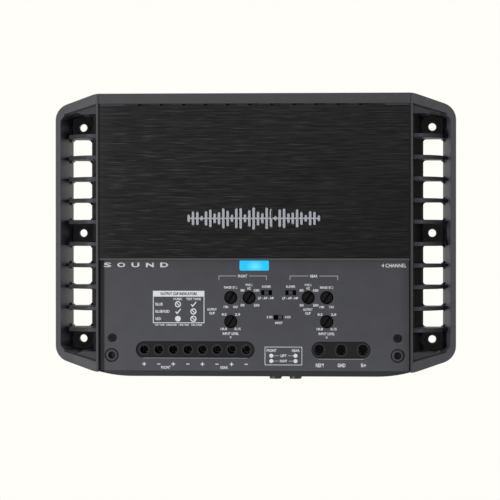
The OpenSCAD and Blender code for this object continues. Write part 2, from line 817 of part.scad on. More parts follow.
module jack_shells() {
    color([0.8, 0.78, 0.7]) for (x = jack_xs, z = jack_zs)
        translate([x, jack_tip_y, z]) rotate([-90, 0, 0]) difference() {
            union() {
                cylinder(r = jack_r, h = jack_barrel);
                cylinder(r = jack_r - 0.2, h = jack_face_y + 6 - jack_tip_y);
                translate([0, 0, jack_face_y - jack_tip_y]) cylinder(r = jack_seat_r, h = 6);
            }
            translate([0, 0, -1]) cylinder(r = jack_r - 0.55, h = jack_face_y + 5 - jack_tip_y);
        }
}

module jack_contacts() {
    color([0.9, 0.9, 0.86]) for (x = jack_xs, z = jack_zs)
        translate([x, jack_tip_y + 0.4, z]) rotate([-90, 0, 0]) difference() {
            cylinder(r = jack_r - 0.55, h = jack_face_y + 3.5 - jack_tip_y);
            translate([0, 0, -1]) cylinder(r = 1.65, h = 8);
        }
}

// ---------- controls ----------

module potentiometers() {
    color([0.12, 0.12, 0.13]) for (p = dials)
        translate(p) difference() {
            block(10, 10, ctl_board_z, front_ceiling - 0.2);
            post(3.05, ctl_board_z + 1, front_ceiling + 1);
        }
}

module dial(p) {
    color([0.16, 0.16, 0.17]) translate(p) difference() {
        union() {
            post(3, ctl_board_z + 1.1, front_ceiling + 0.4);
            post(dial_r, front_ceiling + 0.2, panel_z - 0.9);
            translate([0, 0, panel_z - 0.9]) cylinder(r1 = dial_r, r2 = dial_r - 0.5, h = 0.5);
        }
        rotate(dial_slot_angle) block(2 * dial_r + 1, 0.95, panel_z - 2.2, panel_z + 1);
    }
}

module switch_bodies() {
    color([0.12, 0.12, 0.13]) for (p = switches)
        translate([p[0], p[1], 0]) difference() {
            block(p[2] + 2, 6, ctl_board_z, front_ceiling - 0.2);
            block(p[2], slider_l + 0.1, ctl_board_z + 1.5, front_ceiling + 1);
        }
}

module slider(p) {
    color([0.24, 0.24, 0.25]) translate([p[0] + p[3], p[1], 0]) {
        block(slider_w, slider_l, ctl_board_z + 1.6, panel_z - 0.9);
        block(slider_w - 0.8, slider_l - 0.8, panel_z - 1, panel_z - 0.5);
    }
}

module panel_leds() {
    color([0.9, 0.9, 0.8]) {
        for (x = [-6.5, 0, 6.5])
            translate([x, bar_y, 0]) block(3, 2.8, ctl_board_z, ctl_board_z + 1.2);
        for (p = clip_lights)
            translate(p) block(1.6, 1.6, ctl_board_z, ctl_board_z + 0.8);
    }
}

module light_pipes() {
    color([0.9, 0.95, 1]) for (p = clip_lights)
        translate(p) {
            post(0.8, ctl_board_z + 0.9, panel_z - 0.1);
            post(1.1, ctl_board_z + 0.9, front_ceiling - 0.5);
        }
}

// ---------- inside ----------

// Toroid of outer radius ro, inner radius ri and height h, standing on z0
module ring(ro, ri, z0, h, angle = 360) {
    translate([0, 0, z0]) rotate_extrude(angle = angle) translate([ri, 0]) square([ro - ri, h]);
}

// Windings wrap the core in two arcs, with a bare gap between them
module winding(ro, ri, z0, h, wrap) {
    difference() {
        for (a = [15, 195])
            rotate(a) ring(ro + wrap, ri - wrap, z0, h + 2 * wrap, 150);
        ring(ro, ri, z0 + wrap, h);
    }
}

module transformer_core() {
    color([0.25, 0.25, 0.26]) translate(transformer_pos) ring(22, 12, board_z + 3, 16);
}

module transformer_winding() {
    color([0.7, 0.36, 0.14]) translate(transformer_pos) winding(22, 12, board_z, 16, 3);
}

module choke_core() {
    color([0.8, 0.75, 0.2]) translate(choke_pos) ring(11.5, 7, board_z + 2, 9);
}

module choke_winding() {
    color([0.7, 0.36, 0.14]) translate(choke_pos) winding(11.5, 7, board_z, 9, 2);
}

module capacitor(r, h) {
    post(r, board_z, board_z + h - 1);
    post(r - 1, board_z + h - 1.5, board_z + h);
}

module rail_capacitors() {
    color([0.12, 0.13, 0.2]) for (x = [-60, -36], y = [14, 38, 62])
        translate([x, y, 0]) capacitor(10, 30);
}

module input_capacitors() {
    color([0.12, 0.13, 0.2]) for (y = [-58, -40, -22])
        translate([75, y, 0]) capacitor(8, 26);
}

// Repeats its children at each power device, on the right and left walls
module at_devices() {
    for (s = [0, 1], t = [-1, 1], i = [0:device_n - 1])
        mirror([s, 0, 0]) translate([0, t * (device_first + i * device_pitch), 0]) children();
}

module power_transistors() {
    color([0.1, 0.1, 0.1]) at_devices() {
        translate([device_x - device_t, -device_w / 2, 22]) cube([device_t, device_w, 9.5]);
        translate([device_x - 1.3, -device_w / 2, 31]) cube([1.3, device_w, 6.5]);
        for (y = [-2.54, 0, 2.54])
            translate([device_x - device_t + 1.6, y - 0.4, board_z]) cube([0.6, 0.8, 9.5]);
    }
}

module thermal_pads() {
    color([0.6, 0.6, 0.65]) for (s = [0, 1], t = [-1, 1])
        mirror([s, 0, 0]) difference() {
            translate([device_x, t * (device_first + 1.5 * device_pitch) - 30, 21])
                cube([cavity_hw - device_x, 60, 17.5]);
            for (y = clamp_rows)
                translate([device_x - 1, t * y, clamp_z]) rotate([0, 90, 0]) cylinder(r = m3_r + 0.4, h = 5);
        }
}

module clamp_bars() {
    color([0.6, 0.6, 0.62]) for (s = [0, 1], t = [-1, 1])
        mirror([s, 0, 0]) difference() {
            translate([device_x - device_t - bar_t, t * (device_first + 1.5 * device_pitch) - 30, 24])
                cube([bar_t, 60, 7]);
            for (y = clamp_rows)
                translate([device_x - device_t - bar_t - 1, t * y, clamp_z])
                    rotate([0, 90, 0]) cylinder(r = m3_r + 0.2, h = 5);
        }
}

module clamp_screws() {
    color([0.75, 0.75, 0.77]) for (s = [0, 1], t = [-1, 1], y = clamp_rows)
        mirror([s, 0, 0])
            translate([device_x - device_t - bar_t, t * y, clamp_z])
                rotate([0, 90, 0]) {
                    cylinder(r = m3_r, h = cavity_hw + 3 - device_x + device_t + bar_t);
                    translate([0, 0, -2]) cylinder(r = 2.6, h = 2);
                }
}

heatsink();
bottom_plate();
bottom_screws();
top_plate();
badge();
control_panel();
panel_screws();
corner_bolts();
light_bar();
front_panel();
front_screws();
end_cap_left();
end_cap_right();
end_cap_screws();
main_board();
board_screws();
control_board();
control_board_screws();
board_header();
speaker_terminal_block();
speaker_clamps();
speaker_screw(1);  // speaker_screw_1
speaker_screw(2);  // speaker_screw_2
speaker_screw(3);  // speaker_screw_3
speaker_screw(4);  // speaker_screw_4
speaker_screw(5);  // speaker_screw_5
speaker_screw(6);  // speaker_screw_6
speaker_screw(7);  // speaker_screw_7
speaker_screw(8);  // speaker_screw_8
power_terminal_block();
power_clamps();
power_screw(1);  // power_screw_1
power_screw(2);  // power_screw_2
power_screw(3);  // power_screw_3
jack_housing();
jack_shells();
jack_contacts();
potentiometers();
dial(dials[0]);  // front_bass_dial
dial(dials[1]);  // front_frequency_dial
dial(dials[2]);  // front_level_dial
dial(dials[3]);  // rear_bass_dial
dial(dials[4]);  // rear_frequency_dial
dial(dials[5]);  // rear_level_dial
switch_bodies();
slider(switches[0]);  // front_crossover_slider
slider(switches[1]);  // rear_crossover_slider
slider(switches[2]);  // input_mode_slider
panel_leds();
light_pipes();
transformer_core();
transformer_winding();
choke_core();
choke_winding();
rail_capacitors();
input_capacitors();
power_transistors();
thermal_pads();
clamp_bars();
clamp_screws();
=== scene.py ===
"""Looks of a four-channel car amplifier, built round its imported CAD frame."""
import json
import math

import bmesh
import bpy
from mathutils import Matrix, Vector


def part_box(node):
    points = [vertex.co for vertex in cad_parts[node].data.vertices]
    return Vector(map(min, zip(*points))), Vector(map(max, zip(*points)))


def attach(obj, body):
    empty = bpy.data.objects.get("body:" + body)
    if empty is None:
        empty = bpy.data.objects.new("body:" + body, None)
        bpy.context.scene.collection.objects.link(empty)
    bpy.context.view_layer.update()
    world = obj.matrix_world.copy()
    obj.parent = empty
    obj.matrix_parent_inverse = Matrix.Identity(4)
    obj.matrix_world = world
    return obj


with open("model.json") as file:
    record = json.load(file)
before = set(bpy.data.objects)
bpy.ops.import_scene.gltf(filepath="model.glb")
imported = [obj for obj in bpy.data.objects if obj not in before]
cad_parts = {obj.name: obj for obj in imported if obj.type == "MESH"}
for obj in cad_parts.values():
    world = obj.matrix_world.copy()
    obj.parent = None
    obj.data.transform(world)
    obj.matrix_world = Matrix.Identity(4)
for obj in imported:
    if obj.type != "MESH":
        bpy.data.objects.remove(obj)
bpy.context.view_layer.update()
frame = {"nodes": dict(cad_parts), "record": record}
nodes = frame["nodes"]
scene = bpy.context.scene
MM = 0.001
BODY = "amplifier"

# ---------- camera and lights ----------

# Almost straight above, a little to the right; the camera looks at a point on the top plate
camera_at = Vector((69.3, -4.2, 1420.7)) * MM
camera_to = Vector((-2.64, -11.86, 52)) * MM


def looking(at, to, up):
    """Matrix of an object at one point whose -Z axis looks at another, its Y axis towards up."""
    back = (at - to).normalized()
    right = up.cross(back).normalized()
    turn = Matrix((right, back.cross(right), back)).transposed()
    return Matrix.Translation(at) @ turn.to_4x4()


camera = bpy.data.objects.new("camera", bpy.data.cameras.new("camera"))
camera.data.lens = 142.74
camera.data.sensor_width = 36
camera.data.clip_end = 100
camera.matrix_world = looking(camera_at, camera_to, Vector((0, 1, 0)))
scene.collection.objects.link(camera)
scene.camera = camera


def area_light(name, at, power, size):
    """A round lamp aimed at the middle of the object; place and size in metres, power in watts."""
    light = bpy.data.lights.new(name, "AREA")
    light.shape = "DISK"
    light.size = size
    light.energy = power
    o = bpy.data.objects.new(name, light)
    o.matrix_world = looking(Vector(at), Vector((0, 0, 0.05)), Vector((0, 1, 0.01)))
    scene.collection.objects.link(o)


area_light("key_light", (-1.45, -0.1, 1.9), 27, 0.16)
area_light("fill_light", (1.7, 0.1, 1.5), 7, 1.2)
area_light("rear_light", (0.2, 1.9, 1.5), 4, 0.5)

world = bpy.data.worlds.new("studio")
scene.world = world
world.use_nodes = True
sky = world.node_tree.nodes["Background"].inputs
sky["Color"].default_value = (0.98, 0.99, 1.0, 1)
sky["Strength"].default_value = 0.28
scene.view_settings.view_transform = "Standard"
scene.view_settings.look = "None"

# ---------- materials ----------


class Shader:
    """Builds one procedural material on the Principled shader."""

    def __init__(self, name, roughness=0.5, metallic=0.0, **constants):
        self.material = bpy.data.materials.new(name)
        self.material.use_nodes = True
        self.tree = self.material.node_tree
        self.base = self.tree.nodes["Principled BSDF"]
        self.base.inputs["Roughness"].default_value = roughness
        self.base.inputs["Metallic"].default_value = metallic
        for key, value in constants.items():
            self.base.inputs[key.replace("_", " ")].default_value = value
        self.place = self.add("ShaderNodeTexCoord").outputs["Object"]

    def add(self, kind, **settings):
        n = self.tree.nodes.new(kind)
        for key, value in settings.items():
            setattr(n, key, value)
        return n

    def link(self, source, target):
        self.tree.links.new(source, target)

    def noise(self, scale, detail=3.0, roughness=0.5):
        """Noise from 0 to 1 whose scale, in cycles per metre, may differ along X, Y and Z."""
        mapping = self.add("ShaderNodeMapping")
        if not isinstance(scale, (tuple, list)):
            scale = (scale, scale, scale)
        mapping.inputs["Scale"].default_value = scale
        self.link(self.place, mapping.inputs["Vector"])
        n = self.add("ShaderNodeTexNoise")
        n.inputs["Scale"].default_value = 1.0
        n.inputs["Detail"].default_value = detail
        n.inputs["Roughness"].default_value = roughness
        self.link(mapping.outputs["Vector"], n.inputs["Vector"])
        return n.outputs["Fac"]

    def math(self, operation, a, b=0.0, c=None):
        n = self.add("ShaderNodeMath", operation=operation)
        for i, value in enumerate((a, b) if c is None else (a, b, c)):
            if isinstance(value, (int, float)):
                n.inputs[i].default_value = value
            else:
                self.link(value, n.inputs[i])
        return n.outputs[0]

    def spread(self, source, low, high, to_low=0.0, to_high=1.0):
        """Maps low..high to to_low..to_high and holds the end values outside."""
        n = self.add("ShaderNodeMapRange")
        ends = {"From Min": low, "From Max": high, "To Min": to_low, "To Max": to_high}
        for key, value in ends.items():
            n.inputs[key].default_value = value
        self.link(source, n.inputs["Value"])
        return n.outputs["Result"]

    def ramp(self, source, *stops):
        """Colours along a 0 to 1 value; each stop is (position, (r, g, b))."""
        n = self.add("ShaderNodeValToRGB")
        ramp = n.color_ramp
        for i, (position, color) in enumerate(stops):
            stop = ramp.elements[i] if i < 2 else ramp.elements.new(position)
            stop.position = position
            stop.color = (*color, 1)
        self.link(source, n.inputs["Fac"])
        return n.outputs["Color"]

    def color(self, source):
        self.link(source, self.base.inputs["Base Color"])

    def rough(self, source):
        self.link(source, self.base.inputs["Roughness"])

    def bump(self, height, distance, strength=1.0):
        """Raises the surface by height times distance, in mm."""
        n = self.add("ShaderNodeBump")
        n.inputs["Strength"].default_value = strength
        n.inputs["Distance"].default_value = distance * MM
        self.link(height, n.inputs["Height"])
        self.link(n.outputs["Normal"], self.base.inputs["Normal"])

    def axis(self, name):
        """One coordinate of the place on the object, in metres."""
        n = self.add("ShaderNodeSeparateXYZ")
        self.link(self.place, n.inputs[0])
        return n.outputs[name]

    def lean(self, name):
        """One component of the surface's own direction."""
        n = self.add("ShaderNodeSeparateXYZ")
        self.link(self.add("ShaderNodeNewGeometry").outputs["True Normal"], n.inputs[0])
        return n.outputs[name]

    def within(self, source, limit, soft=0.3):
        """1 where a length is under the limit, either way from 0; limit and soft are in mm."""
        length = self.math("ABSOLUTE", source)
        return self.spread(length, limit * MM, (limit + soft) * MM, 1.0, 0.0)

    def above(self, source, limit, soft=0.3):
        """0 up to the limit and 1 past it; limit and soft are in mm."""
        return self.spread(source, limit * MM, (limit + soft) * MM)

    def all_of(self, first, *others):
        """1 only where every mask is 1."""
        for mask in others:
            first = self.math("MULTIPLY", first, mask)
        return first

    def over(self, below, mask, color):
        """Lays one plain colour over another colour where the mask is 1."""
        n = self.add("ShaderNodeMix", data_type="RGBA")
        self.link(mask, n.inputs["Factor"])
        self.link(below, n.inputs[6])
        n.inputs[7].default_value = (*color, 1)
        return n.outputs[2]

    def grain(self, fine, slow, color, vary):
        """Colour that varies a little with two noises."""
        both = self.math("MULTIPLY_ADD", fine, 0.5, self.math("MULTIPLY", slow, 0.5))
        return self.ramp(both, (0.3, tinted(color, 1 - vary)), (0.7, tinted(color, 1 + vary)))


def tinted(color, factor):
    return tuple(c * factor for c in color)


slow_scale = 160


def grained(name, color, vary, rough, grain, bump, **constants):
    """Plastic, paint or plating: mottling, fine grain and a roughness that follows the grain."""
    s = Shader(name, **constants)
    fine = s.noise(grain, 3)
    slow = s.noise(slow_scale, 2)
    s.color(s.grain(fine, slow, color, vary))
    s.rough(s.spread(fine, 0.3, 0.7, *rough))
    s.bump(fine, bump)
    return s.material


def brushed(name, dark, light, cut, rough, **constants):
    """Metal brushed from side to side, with a paler chamfer cut along its front edge.

    Long and short streaks, with painted light over them: rare bright streaks are painted glints
    that thin out to the right, and the finish is painted a little paler to the rear and along the
    left edge."""
    s = Shader(name, **constants)
    long = s.noise((14, 1400, 1), 2, 0.6)
    short = s.noise((70, 1700, 1), 2, 0.6)
    rare = s.noise((48, 1250, 1), 1, 0.5)
    # Painted highlights and light: rare glints that fade to the right, a finish paler to the rear
    # and along the left edge
    painted_glint_share = s.spread(s.axis("X"), -0.1, 0.1, 0.60, 0.10)
    lines = s.math("ADD", s.math("MULTIPLY", long, 0.5), s.math("MULTIPLY", short, 0.5))
    for painted_lift in (s.math("MULTIPLY", s.spread(rare, 0.60, 0.74), painted_glint_share),
                 s.spread(s.axis("Y"), -0.02, 0.09, -0.03, 0.03),
                 s.spread(s.axis("X"), -0.108, -0.096, 0.09, 0.0)):
        lines = s.math("ADD", lines, painted_lift)
    streaks = s.ramp(lines, (0.43, dark), (0.84, light))
    chamfer = s.spread(s.lean("Y"), -0.45, -0.6)
    s.color(s.over(streaks, chamfer, cut))
    s.rough(s.spread(lines, 0.3, 0.8, *rough))
    s.bump(lines, 0.012)
    return s.material


def panel_skin(name, color):
    """Matt steel sheet with a fine sprayed texture, and painted light that makes it a little
    lighter towards the terminals.
    """
    s = Shader(name)
    fine = s.noise(1900, 4, 0.6)
    slow = s.noise(90, 2)
    # Painted light: the colour rises towards the front
    painted_rise = s.spread(s.axis("Y"), -0.095, -0.02, 0.60, 0.43)
    both = s.math("ADD", s.math("MULTIPLY", fine, 0.30), s.math("MULTIPLY", slow, 0.12))
    both = s.math("ADD", both, s.math("MULTIPLY", painted_rise, 0.58))
    s.color(s.ramp(both, (0.36, tinted(color, 0.66)), (0.64, tinted(color, 1.34))))
    s.rough(s.spread(fine, 0.3, 0.7, 0.48, 0.62))
    s.bump(fine, 0.02)
    return s.material


# Where things are on the end caps, in mm: the sloping top runs out from the rail to the rim
rail_x, rail_z = 109.7, 52
top_fall = 13 / 30.3
rim_inside_x = 136.2
window_end_y = 83
skirt_foot_x, skirt_top_z = 119, 50


def cap_skin(name, color):
    """Moulded plastic with painted shade: darker in the openings and darkest on the sloping skirt
    under each rail.
    """
    s = Shader(name, Specular_IOR_Level=0.2)
    fine = s.noise(2600, 3)
    grey = s.grain(fine, s.noise(slow_scale, 2), color, 0.12)
    across = s.math("ABSOLUTE", s.axis("X"))
    top = s.math("MULTIPLY_ADD", s.math("SUBTRACT", across, rail_x * MM), -top_fall, rail_z * MM)
    depth = s.math("SUBTRACT", top, s.axis("Z"))
    # Painted shade: faces sunk below the sloping top are darkened, the steep walls a little bluer
    shaded_recess = s.all_of(s.above(depth, 0.3), s.within(across, rim_inside_x))
    upward = s.spread(s.lean("Z"), 0.3, 0.7)
    shaded_wall = s.all_of(shaded_recess, s.within(s.axis("Y"), window_end_y), s.math("SUBTRACT", 1.0, upward))
    wall_shade_colour = (0.82 * color[0], 0.80 * color[1], 1.02 * color[2])
    grey = s.over(grey, shaded_wall, wall_shade_colour)
    grey = s.over(grey, s.math("MULTIPLY", shaded_recess, upward), tinted(color, 0.54))
    # Painted shade: the steep skirt under each rail is darkened to near black
    steep = s.spread(s.math("ABSOLUTE", s.lean("X")), 0.80, 0.90)
    skirt = s.all_of(steep, s.within(across, skirt_foot_x, 1),
                     s.within(s.axis("Z"), skirt_top_z, 1.2))
    s.color(s.over(grey, skirt, tinted(color, 0.26)))
    s.rough(s.math("MAXIMUM", s.spread(fine, 0.3, 0.7, 0.42, 0.56), skirt))
    s.bump(fine, 0.02)
    return s.material


def cast_skin(name, color, painted_floor_light):
    """Sprayed casting with painted light, paler, on the floors of the deep wells and painted shade,
    near black, in the rear notches.
    """
    s = Shader(name)
    fine = s.noise(2100, 3)
    black = s.grain(fine, s.noise(slow_scale, 2), color, 0.10)
    upward = s.spread(s.lean("Z"), 0.7, 0.9)
    # Painted light: up-facing floors in the deep wells are made paler
    black = s.over(black, s.all_of(upward, s.within(s.axis("Z"), well_floor_top)), painted_floor_light)
    # Painted shade: the floors of the rear notches are near black
    below_plate = s.math("SUBTRACT", plate_low * MM, s.axis("Z"))
    notch = s.all_of(upward, s.above(s.axis("Y"), plate_rear - 1, 0.5),
                     s.above(below_plate, 0.8, 0.4), s.within(below_plate, 1.8, 0.4))
    s.color(s.over(black, notch, (0.004, 0.004, 0.004)))
    s.rough(s.spread(fine, 0.3, 0.7, 0.5, 0.62))
    s.bump(fine, 0.03)
    return s.material


def bolt_skin(name, color, painted_rim_highlight):
    """Black oxide, with a painted highlight, a paler grey ring, round the sockets of the two front
    corner bolts.
    """
    s = Shader(name, metallic=0.2, Specular_IOR_Level=0.35)
    fine = s.noise(1800, 3)
    dark = s.grain(fine, s.noise(700, 2), color, 0.3)
    x = s.math("SUBTRACT", s.math("ABSOLUTE", s.axis("X")), bolt_x * MM)
    y = s.math("SUBTRACT", s.axis("Y"), bolt_y * MM)
    r = s.math("SQRT", s.math("ADD", s.math("MULTIPLY", x, x), s.math("MULTIPLY", y, y)))
    # Painted highlight: a paler ring round each socket
    ring = s.all_of(s.above(r, bolt_socket_r), s.within(r, 5.0), s.above(s.axis("Z"), 44, 1.5))
    s.color(s.over(dark, ring, painted_rim_highlight))
    s.rough(s.spread(fine, 0.3, 0.7, 0.3, 0.45))
    s.bump(fine, 0.02)
    return s.material


def terminal_skin(name, color, painted_ring_highlight):
    """Black nylon whose raised rings round the screws are painted paler, a painted highlight."""
    s = Shader(name, Specular_IOR_Level=0.2)
    fine = s.noise(2600, 3)
    black = s.grain(fine, s.noise(slow_scale, 2), color, 0.15)
    # Painted highlight: the tops of the raised rings are paler
    s.color(s.over(black, s.above(s.axis("Z"), terminal_top - 0.35, 0.2), painted_ring_highlight))
    s.rough(s.spread(fine, 0.3, 0.7, 0.5, 0.65))
    s.bump(fine, 0.02)
    return s.material


def glowing(name, centre, edge, middle, half):
    """A lens lit from behind, paler in a spot over its lamp; middle and half are in metres."""
    s = Shader(name, roughness=0.25)
    s.base.inputs["Base Color"].default_value = (0.02, 0.1, 0.15, 1)
    s.base.inputs["Emission Strength"].default_value = 1.0
    shift = s.add("ShaderNodeMapping", vector_type="TEXTURE")
    shift.inputs["Location"].default_value = middle
    shift.inputs["Scale"].default_value = half
    s.link(s.place, shift.inputs["Vector"])
    length = s.add("ShaderNodeVectorMath", operation="LENGTH")
    s.link(shift.outputs["Vector"], length.inputs[0])
    ripple = s.math("MULTIPLY_ADD", s.noise(700, 2), 0.12, length.outputs["Value"])
    s.link(s.ramp(ripple, (0.1, centre), (1.0, edge)), s.base.inputs["Emission Color"])
    s.bump(s.noise(1500, 2), 0.01)
    return s.material


def board_skin(name):
    """Green solder mask over copper tracks that run square to each other."""
    s = Shader(name, roughness=0.35)
    mapping = s.add("ShaderNodeMapping")
    mapping.inputs["Scale"].default_value = (160, 220, 1)
    s.link(s.place, mapping.inputs["Vector"])
    tracks = s.add("ShaderNodeTexVoronoi", distance="CHEBYCHEV", feature="F1")
    s.link(mapping.outputs["Vector"], tracks.inputs["Vector"])
    tracks.inputs["Scale"].default_value = 1.0
    gap, track = 0.30, 0.36
    distance = tracks.outputs["Distance"]
    s.color(s.ramp(distance, (gap, (0.016, 0.085, 0.035)), (track, (0.03, 0.16, 0.06))))
    s.bump(s.spread(distance, gap, track), 0.03)
    return s.material


def wound(name, color, turns):
    """Round enamelled wire, wound turn by turn: fine ridges round the vertical axis."""
    s = Shader(name, metallic=0.8, Coat_Weight=0.5)
    wave = s.add("ShaderNodeTexWave", bands_direction="DIAGONAL")
    wave.inputs["Scale"].default_value = turns
    s.link(s.place, wave.inputs["Vector"])
    s.color(s.ramp(wave.outputs["Fac"], (0.1, tinted(color, 0.35)), (0.6, color)))
    s.rough(s.spread(s.noise(900), 0.3, 0.7, 0.25, 0.4))
    s.bump(wave.outputs["Fac"], 0.3)
    return s.material


# Heights and places that the skins above follow, in mm
plate_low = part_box("top_plate")[0].z / MM
plate_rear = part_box("top_plate")[1].y / MM
terminal_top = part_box("speaker_terminal_block")[1].z / MM
well_floor_top = 9.5
bolt_x, bolt_y = 99.4, -85.1
bolt_socket_r = 2.5

finishes = {
    "cast_black": cast_skin("cast_coat", (0.057, 0.057, 0.061), (0.30, 0.30, 0.305)),
    "brushed_black": brushed("brushed_plate", (0.0002, 0.0002, 0.0003), (0.040, 0.0397, 0.0397),
                             (0.135, 0.135, 0.145), (0.50, 0.66), Specular_IOR_Level=0.25),
    "panel_grey": panel_skin("panel_paint", (0.0618, 0.0624, 0.0718)),
    "front_black": grained("front_plastic", (0.019, 0.019, 0.021), 0.12, (0.45, 0.6), 2300, 0.02),
    "cap_grey": cap_skin("cap_plastic", (0.086, 0.086, 0.0935)),
    "badge_silver": grained("badge_metal", (0.50, 0.52, 0.56), 0.05, (0.34, 0.46), 3200, 0.006,
                            metallic=0.35),
    "light_blue": glowing("light_lens", (0.13, 0.74, 1.0), (0.0, 0.51, 1.0),
                          (0.0006, -0.0232, 0.0472), (0.0066, 0.0042, 1)),
    "terminal_black": terminal_skin("terminal_plastic", (0.0075, 0.0077, 0.0095),
                                    (0.034, 0.034, 0.038)),
    "lug_metal": grained("lug_plating", (0.62, 0.58, 0.5), 0.12, (0.25, 0.4), 1500, 0.01,
                         metallic=0.9),
    "screw_steel": grained("screw_plating", (0.5, 0.5, 0.5), 0.12, (0.25, 0.4), 1500, 0.01,
                           metallic=0.9),
    "screw_black": bolt_skin("screw_oxide", (0.010, 0.010, 0.0115), (0.085, 0.085, 0.092)),
    "base_steel": grained("base_coat", (0.035, 0.035, 0.037), 0.15, (0.45, 0.6), 1700, 0.02),
    "board_green": board_skin("board_mask"),
    "dial_black": grained("dial_plastic", (0.0030, 0.0030, 0.0034), 0.5, (0.5, 0.65), 1500, 0.03,
                          Specular_IOR_Level=0.2),
    "part_black": grained("part_plastic", (0.012, 0.012, 0.013), 0.15, (0.4, 0.55), 2600, 0.01),
    "slider_grey": grained("slider_plastic", (0.05, 0.05, 0.053), 0.12, (0.4, 0.55), 2800, 0.01),
    "pipe_clear": grained("pipe_plastic", (0.10, 0.11, 0.12), 0.1, (0.1, 0.2), 2000, 0.004),
    "led_white": grained("lamp_lens", (0.7, 0.7, 0.6), 0.1, (0.2, 0.3), 2000, 0.004),
    "jack_nickel": grained("jack_plating", (0.06, 0.06, 0.06), 0.1, (0.4, 0.5), 1600, 0.006,
                           metallic=0.4),
    "jack_insert": grained("jack_insulator", (0.02, 0.02, 0.02), 0.1, (0.3, 0.45), 2200, 0.01),
    "ferrite": grained("core_coat", (0.05, 0.05, 0.052), 0.2, (0.5, 0.7), 1500, 0.03),
    "iron_powder": grained("powder_coat", (0.45, 0.38, 0.05), 0.1, (0.5, 0.65), 1500, 0.03),
    "enamel_wire": wound("enamel_turns", (0.55, 0.22, 0.08), 120),
    "capacitor_sleeve": grained("sleeve_film", (0.02, 0.025, 0.06), 0.15, (0.2, 0.35), 900, 0.02,
                                Coat_Weight=0.3),
    "pad_grey": grained("pad_silicone", (0.33, 0.34, 0.38), 0.08, (0.6, 0.75), 2400, 0.02),
}
ink = grained("panel_ink", (0.86, 0.87, 0.90), 0.05, (0.5, 0.6), 3000, 0.004)
ink_dim = grained("panel_ink_thin", (0.46, 0.46, 0.47), 0.05, (0.5, 0.6), 3000, 0.004)
ink_dark = grained("panel_ink_dark", (0.055, 0.055, 0.06), 0.05, (0.5, 0.6), 3000, 0.004)
# Painted shade round the badge's bars
badge_shade = grained("badge_shadow_line", (0.004, 0.004, 0.004), 0.1, (0.6, 0.7), 2600, 0.004)

# Every CAD node takes the finish that the record names for it
slot_of = {part["node"]: part["material_slot"] for part in frame["record"]["subparts"]}
for name, o in nodes.items():
    for material_slot in o.material_slots:
        material_slot.material = finishes[slot_of[name]]

# ---------- soft edges on the CAD parts ----------


def soften(name, width):
    """Rounds a CAD part's edges with modifiers, width in mm."""
    o = nodes[name]
    normals = o.data.attributes.get("custom_normal")
    if normals:
        o.data.attributes.remove(normals)
    o.data.shade_smooth()
    weld = o.modifiers.new("weld", "WELD")
    weld.merge_threshold = 0.002 * MM
    bevel = o.modifiers.new("soft_edges", "BEVEL")
    bevel.width = width * MM
    bevel.segments = 2
    bevel.limit_method = "ANGLE"
    bevel.angle_limit = math.radians(28)
    bevel.use_clamp_overlap = False
    bevel.harden_normals = True


edge_rounds = {
    "heatsink": 0.3, "end_cap_left": 0.35, "end_cap_right": 0.35, "badge": 0.18,
    "light_bar": 0.3, "corner_bolts": 0.15,
}
for name, width in edge_rounds.items():
    soften(name, width)
for name in nodes:
    if name.endswith("_dial") or name.endswith("_slider"):
        soften(name, 0.12)

# ---------- printed marks and the painted shade under the badge ---


def finish_piece(bm, name, material):
    """Turns a bmesh into a piece that rides on the amplifier."""
    mesh = bpy.data.meshes.new(name)
    bm.to_mesh(mesh)
    bm.free()
    mesh.materials.append(material)
    o = bpy.data.objects.new(name, mesh)
    scene.collection.objects.link(o)
    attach(o, BODY)


def arc(x, y, r, start, end):
    """Points every 15 degrees from start to end round (x, y)."""
    return [(x + r * math.cos(math.radians(a)), y + r * math.sin(math.radians(a)))
            for a in range(start, end + 1, 15)]


